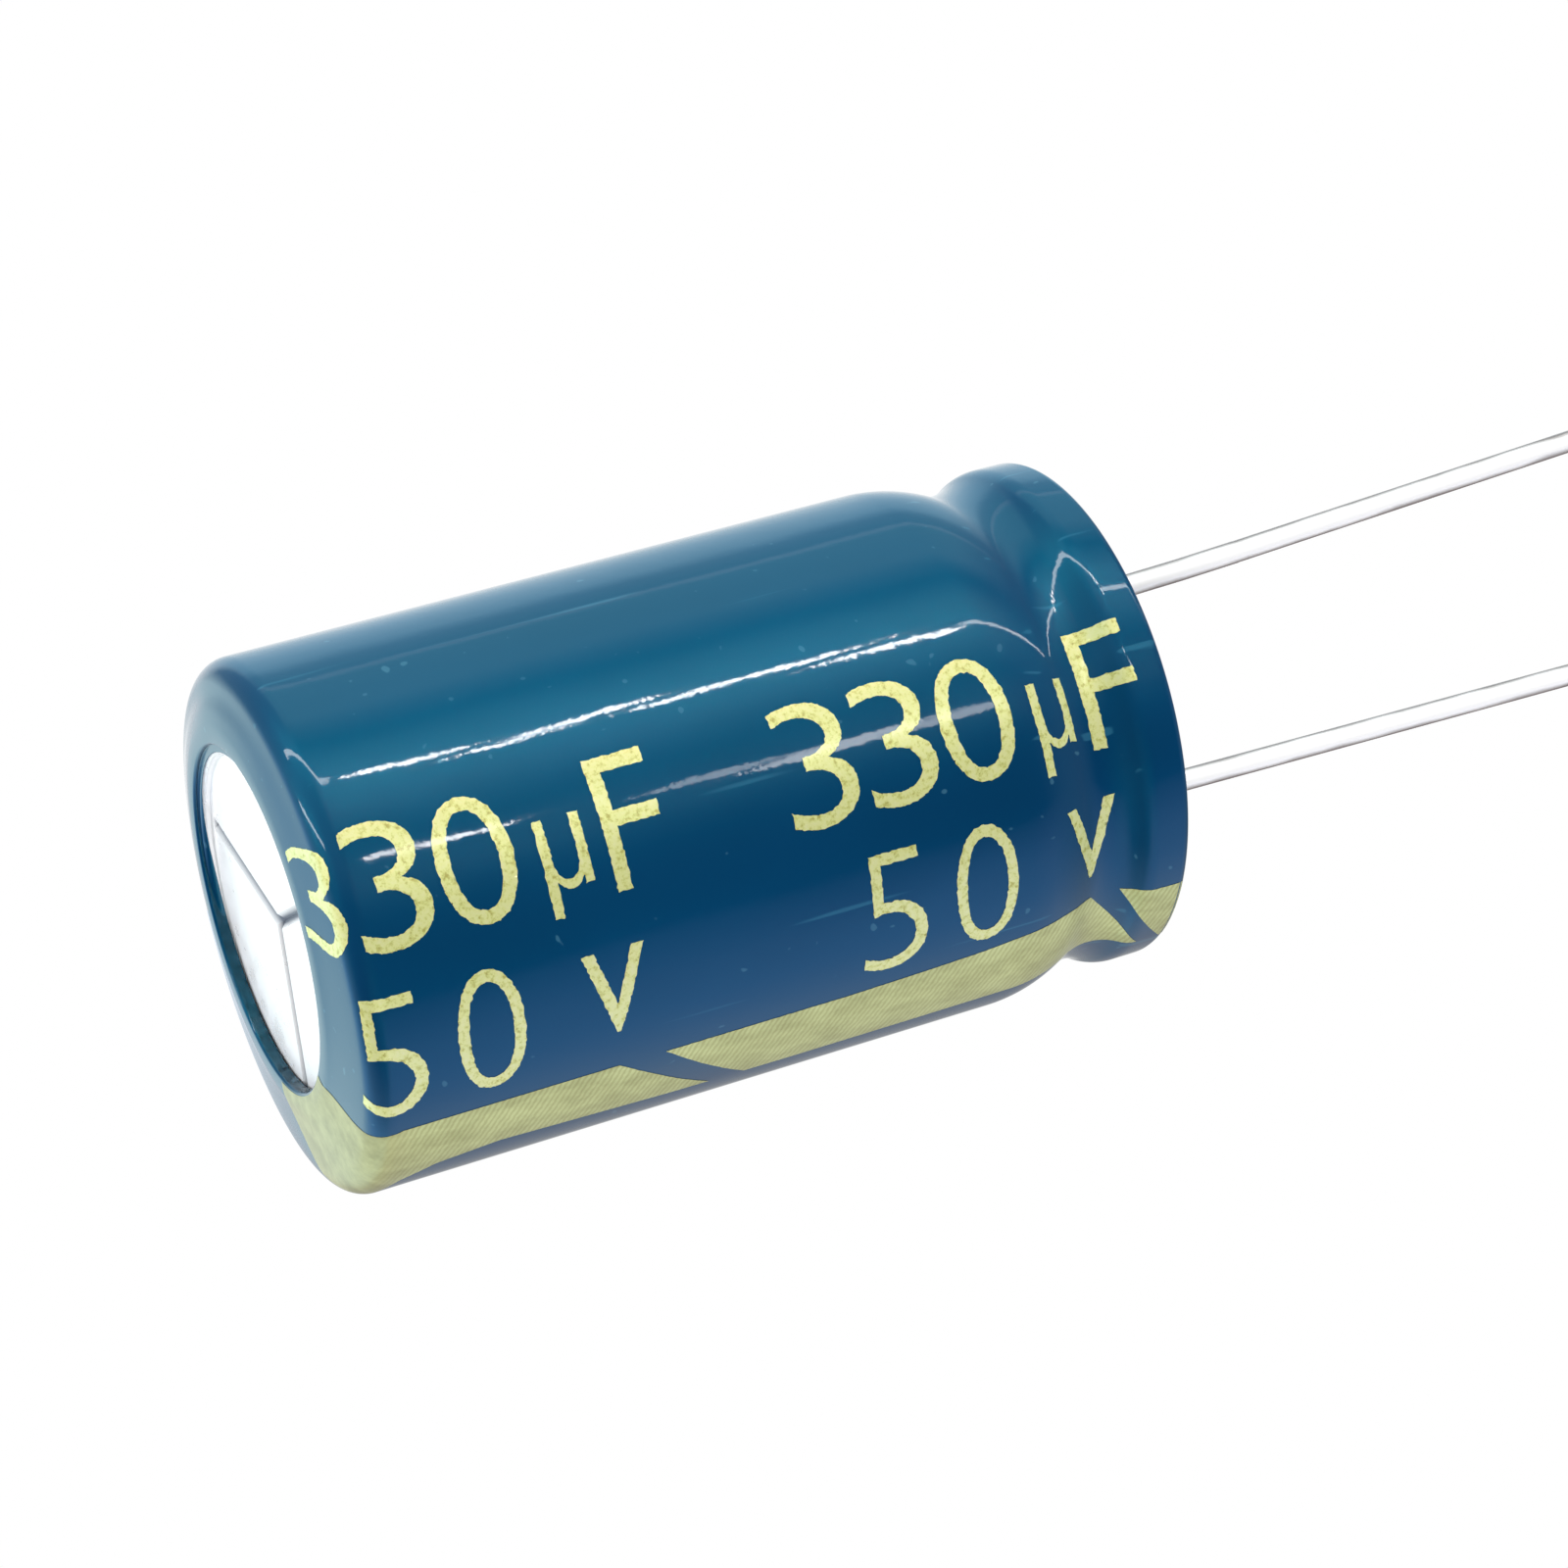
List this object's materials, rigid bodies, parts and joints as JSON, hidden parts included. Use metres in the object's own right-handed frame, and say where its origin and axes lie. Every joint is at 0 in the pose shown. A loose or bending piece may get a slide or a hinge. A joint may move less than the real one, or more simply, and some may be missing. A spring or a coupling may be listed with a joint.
{
  "type": "electrolytic capacitor",
  "caption": "Radial aluminium electrolytic capacitor in a printed shrink sleeve, with a vented closed end, a beaded neck and two wire leads of unequal length.",
  "frame": {"origin": "centre of the closed end, on the plane the capacitor stands on", "axes": "+Z along the can towards the leads; +X towards the anode lead, so the cathode lead is on -X; the printed side faces +Y"},
  "size_m": [0.0128, 0.0128, 0.041],
  "materials": {
    "sleeve": "glossy shrink film, printed in gold",
    "can": "bright drawn sheet",
    "bung": "moulded, dull",
    "winding": "rolled foil and soaked paper",
    "winding_tape": "thin adhesive tape",
    "terminal": "pressed, plain",
    "lead": "tinned wire"
  },
  "bodies": {
    "root": {"sleeve": "sleeve", "can": "can", "bung": "bung", "winding": "winding", "winding_tape": "winding_tape", "anode_terminal": "terminal", "cathode_terminal": "terminal", "anode_lead": "lead", "cathode_lead": "lead"}
  },
  "joints": []
}
